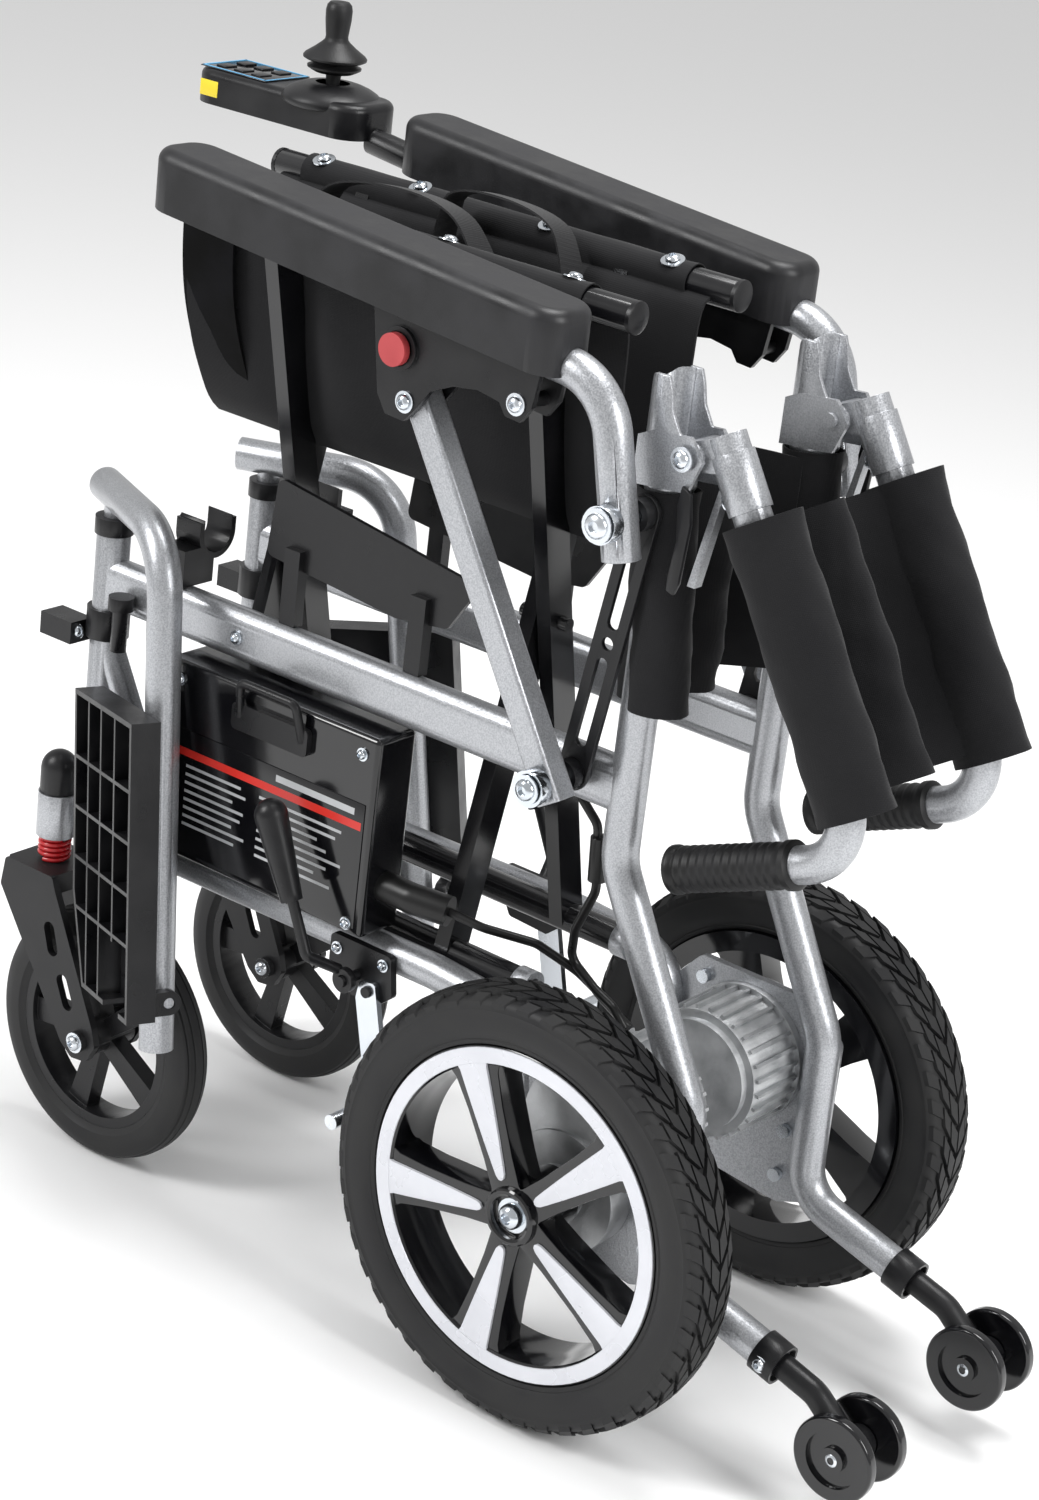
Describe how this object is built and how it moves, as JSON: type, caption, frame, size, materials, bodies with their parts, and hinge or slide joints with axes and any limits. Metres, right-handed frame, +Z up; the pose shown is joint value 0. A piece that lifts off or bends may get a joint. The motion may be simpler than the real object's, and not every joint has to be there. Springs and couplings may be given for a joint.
{
  "type": "power wheelchair",
  "caption": "Folding power wheelchair, folded for storage: tube frame on a cross brace, drive wheels, casters, armrests, joystick, stored leg rests and lowered back.",
  "frame": {"origin": "middle of the folded chair's bounding box at floor level", "axes": "+X towards the sitter's left, +Y towards the rear, +Z up"},
  "size_m": [0.3872, 0.8846, 0.856],
  "materials": {
    "frame_paint": "silver hammered enamel",
    "cast_metal": "as-cast silver",
    "zinc": "bright zinc plate",
    "black_metal": "matte black powder coat",
    "trim_plastic": "satin moulded black",
    "arm_plastic": "fine-grained dark grey",
    "case_plastic": "glossy black",
    "tyre_rubber": "dull black",
    "grip_rubber": "ribbed black",
    "cable_jacket": "satin black",
    "cloth": "black woven",
    "red_paint": "red powder coat",
    "red_plastic": "satin red"
  },
  "bodies": {
    "left_frame": {"left_side_frame": "frame_paint", "left_arm_plate": "black_metal", "left_motor": "cast_metal", "left_gearbox": "cast_metal", "left_frame_trim": "trim_plastic", "left_bolts": "zinc", "left_caster_spring": "red_paint", "battery_case": "case_plastic", "battery_handle": "trim_plastic", "wiring": "cable_jacket"},
    "left_wheel": {"left_wheel_rim": "trim_plastic", "left_tyre": "tyre_rubber"},
    "left_caster_fork": {"left_caster_fork": "black_metal"},
    "left_caster_wheel": {"left_caster_rim": "trim_plastic", "left_caster_tyre": "tyre_rubber"},
    "left_tip_wheels": {"left_tip_wheels": "trim_plastic"},
    "left_armrest": {"left_arm_tube": "frame_paint", "left_arm_pad": "arm_plastic", "left_arm_bracket": "trim_plastic"},
    "left_arm_button": {"left_arm_button": "red_plastic"},
    "left_arm_strut": {"left_arm_strut": "frame_paint"},
    "left_leg_rest": {"left_leg_hanger": "frame_paint"},
    "left_footplate": {"left_footplate": "trim_plastic"},
    "left_back": {"left_back_cane": "frame_paint", "left_push_grip": "grip_rubber"},
    "left_brake_lever": {"left_brake_lever": "trim_plastic"},
    "left_brake_shoe": {"left_brake_shoe": "zinc"},
    "brace_a": {"brace_a": "black_metal", "seat_sling_right": "cloth"},
    "brace_b": {"brace_b": "black_metal", "seat_sling_left": "cloth"},
    "right_frame": {"right_side_frame": "frame_paint", "right_arm_plate": "black_metal", "right_motor": "cast_metal", "right_gearbox": "cast_metal", "right_frame_trim": "trim_plastic", "right_bolts": "zinc", "right_caster_spring": "red_paint"},
    "right_wheel": {"right_wheel_rim": "trim_plastic", "right_tyre": "tyre_rubber"},
    "right_caster_fork": {"right_caster_fork": "black_metal"},
    "right_caster_wheel": {"right_caster_rim": "trim_plastic", "right_caster_tyre": "tyre_rubber"},
    "right_tip_wheels": {"right_tip_wheels": "trim_plastic"},
    "right_armrest": {"right_arm_tube": "frame_paint", "right_arm_pad": "arm_plastic", "right_arm_bracket": "trim_plastic", "controller_case": "trim_plastic"},
    "right_arm_button": {"right_arm_button": "red_plastic"},
    "right_arm_strut": {"right_arm_strut": "frame_paint"},
    "right_leg_rest": {"right_leg_hanger": "frame_paint"},
    "right_footplate": {"right_footplate": "trim_plastic"},
    "right_back": {"right_back_cane": "frame_paint", "right_push_grip": "grip_rubber"},
    "right_brake_lever": {"right_brake_lever": "trim_plastic"},
    "right_brake_shoe": {"right_brake_shoe": "zinc"},
    "back_panel_lower": {"lower_back_sling": "cloth"},
    "back_panel_upper": {"upper_back_sling": "cloth"},
    "joystick_gimbal": {"joystick_gimbal": "trim_plastic"},
    "joystick": {"joystick": "grip_rubber"}
  },
  "joints": [
    {"name": "brace_fold", "type": "hinge", "parent": "left_frame", "child": "brace_a", "pos_m": [0.058, -0.09925, 0.262], "axis": [0, -1, 0], "range_deg": [0, 47.87]},
    {"name": "brace_cross", "type": "hinge", "parent": "brace_a", "child": "brace_b", "pos_m": [0, -0.09925, 0.5035], "axis": [0, 1, 0], "range_deg": [0, 95.74]},
    {"name": "right_frame_pivot", "type": "hinge", "parent": "brace_b", "child": "right_frame", "pos_m": [-0.058, -0.09925, 0.262], "axis": [0, -1, 0], "range_deg": [0, 47.87]},
    {"name": "left_drive_wheel_spin", "type": "hinge", "parent": "left_frame", "child": "left_wheel", "pos_m": [0.146, 0.17575, 0.1575], "axis": [1, 0, 0], "continuous": true},
    {"name": "left_caster_swivel", "type": "hinge", "parent": "left_frame", "child": "left_caster_fork", "pos_m": [0.104, -0.33225, 0.221], "axis": [0, 0, 1], "range_deg": [0, 270]},
    {"name": "left_caster_roll", "type": "hinge", "parent": "left_caster_fork", "child": "left_caster_wheel", "pos_m": [0.104, -0.26625, 0.1], "axis": [1, 0, 0], "continuous": true},
    {"name": "left_tip_wheels_spin", "type": "hinge", "parent": "left_frame", "child": "left_tip_wheels", "pos_m": [0.082, 0.41175, 0.057], "axis": [1, 0, 0], "continuous": true},
    {"name": "left_armrest_flip", "type": "hinge", "parent": "left_frame", "child": "left_armrest", "pos_m": [0.127, 0.16575, 0.638], "axis": [-1, 0, 0], "range_deg": [0, 100]},
    {"name": "left_arm_button_press", "type": "slide", "parent": "left_armrest", "child": "left_arm_button", "axis": [-1, 0, 0], "range_m": [0, 0.003], "stiffness_N_per_m": 800},
    {"name": "left_arm_strut_swing", "type": "hinge", "parent": "left_frame", "child": "left_arm_strut", "pos_m": [0.127, 0.13575, 0.45], "axis": [1, 0, 0], "range_deg": [0, 50]},
    {"name": "left_leg_rest_swing", "type": "hinge", "parent": "left_frame", "child": "left_leg_rest", "pos_m": [0.082, -0.31425, 0.495], "axis": [0, 0, -1], "range_deg": [0, 150]},
    {"name": "left_footplate_fold", "type": "hinge", "parent": "left_leg_rest", "child": "left_footplate", "pos_m": [0.14614, -0.17669, 0.17954], "axis": [0.418, 0.8963, 0.1481], "range_deg": [0, 70]},
    {"name": "left_back_fold", "type": "hinge", "parent": "left_frame", "child": "left_back", "pos_m": [0.082, 0.18975, 0.68], "axis": [1, 0, 0], "range_deg": [0, 148.7]},
    {"name": "left_brake_lever_swing", "type": "hinge", "parent": "left_frame", "child": "left_brake_lever", "pos_m": [0.1107, -0.02925, 0.238], "axis": [1, 0, 0], "range_deg": [0, 40]},
    {"name": "left_brake_shoe_swing", "type": "hinge", "parent": "left_frame", "child": "left_brake_shoe", "pos_m": [0.1027, -0.01425, 0.232], "axis": [1, 0, 0], "range_deg": [0, 5]},
    {"name": "right_drive_wheel_spin", "type": "hinge", "parent": "right_frame", "child": "right_wheel", "pos_m": [-0.146, 0.17575, 0.1575], "axis": [1, 0, 0], "continuous": true},
    {"name": "right_caster_swivel", "type": "hinge", "parent": "right_frame", "child": "right_caster_fork", "pos_m": [-0.104, -0.33225, 0.221], "axis": [0, 0, -1], "range_deg": [0, 270]},
    {"name": "right_caster_roll", "type": "hinge", "parent": "right_caster_fork", "child": "right_caster_wheel", "pos_m": [-0.104, -0.26625, 0.1], "axis": [1, 0, 0], "continuous": true},
    {"name": "right_tip_wheels_spin", "type": "hinge", "parent": "right_frame", "child": "right_tip_wheels", "pos_m": [-0.082, 0.41175, 0.057], "axis": [1, 0, 0], "continuous": true},
    {"name": "right_armrest_flip", "type": "hinge", "parent": "right_frame", "child": "right_armrest", "pos_m": [-0.127, 0.16575, 0.638], "axis": [-1, 0, 0], "range_deg": [0, 100]},
    {"name": "right_arm_button_press", "type": "slide", "parent": "right_armrest", "child": "right_arm_button", "axis": [1, 0, 0], "range_m": [0, 0.003], "stiffness_N_per_m": 800},
    {"name": "right_arm_strut_swing", "type": "hinge", "parent": "right_frame", "child": "right_arm_strut", "pos_m": [-0.127, 0.13575, 0.45], "axis": [1, 0, 0], "range_deg": [0, 50]},
    {"name": "right_leg_rest_swing", "type": "hinge", "parent": "right_frame", "child": "right_leg_rest", "pos_m": [-0.082, -0.31425, 0.495], "axis": [0, 0, 1], "range_deg": [0, 150]},
    {"name": "right_footplate_fold", "type": "hinge", "parent": "right_leg_rest", "child": "right_footplate", "pos_m": [-0.14614, -0.17669, 0.17954], "axis": [0.418, -0.8963, -0.1481], "range_deg": [0, 70]},
    {"name": "right_back_fold", "type": "hinge", "parent": "right_frame", "child": "right_back", "pos_m": [-0.082, 0.18975, 0.68], "axis": [1, 0, 0], "range_deg": [0, 148.7]},
    {"name": "right_brake_lever_swing", "type": "hinge", "parent": "right_frame", "child": "right_brake_lever", "pos_m": [-0.1107, -0.02925, 0.238], "axis": [1, 0, 0], "range_deg": [0, 40]},
    {"name": "right_brake_shoe_swing", "type": "hinge", "parent": "right_frame", "child": "right_brake_shoe", "pos_m": [-0.1027, -0.01425, 0.232], "axis": [1, 0, 0], "range_deg": [0, 5]},
    {"name": "back_panel_lower_slide", "type": "slide", "parent": "left_frame", "child": "back_panel_lower", "axis": [-1, 0, 0], "range_m": [0, 0.32011]},
    {"name": "back_panel_upper_slide", "type": "slide", "parent": "left_back", "child": "back_panel_upper", "axis": [-1, 0, 0], "range_m": [0, 0.32011]},
    {"name": "joystick_side", "type": "hinge", "parent": "right_armrest", "child": "joystick_gimbal", "pos_m": [-0.127, -0.32425, 0.78], "axis": [0, 1, 0], "range_deg": [-15, 15], "stiffness_Nm_per_rad": 0.5},
    {"name": "joystick_fore_aft", "type": "hinge", "parent": "joystick_gimbal", "child": "joystick", "pos_m": [-0.127, -0.32425, 0.78], "axis": [1, 0, 0], "range_deg": [-15, 15], "stiffness_Nm_per_rad": 0.5}
  ],
  "couplings": [
    {"joint": "brace_cross", "follows": "brace_fold", "ratio": 2},
    {"joint": "right_frame_pivot", "follows": "brace_fold", "ratio": 1},
    {"joint": "back_panel_lower_slide", "follows": "brace_fold", "m_per_rad": 0.38304},
    {"joint": "back_panel_upper_slide", "follows": "brace_fold", "m_per_rad": 0.38304},
    {"joint": "right_back_fold", "follows": "left_back_fold", "ratio": 1},
    {"joint": "left_brake_shoe_swing", "follows": "left_brake_lever_swing", "ratio": 0.125},
    {"joint": "right_brake_shoe_swing", "follows": "right_brake_lever_swing", "ratio": 0.125}
  ]
}
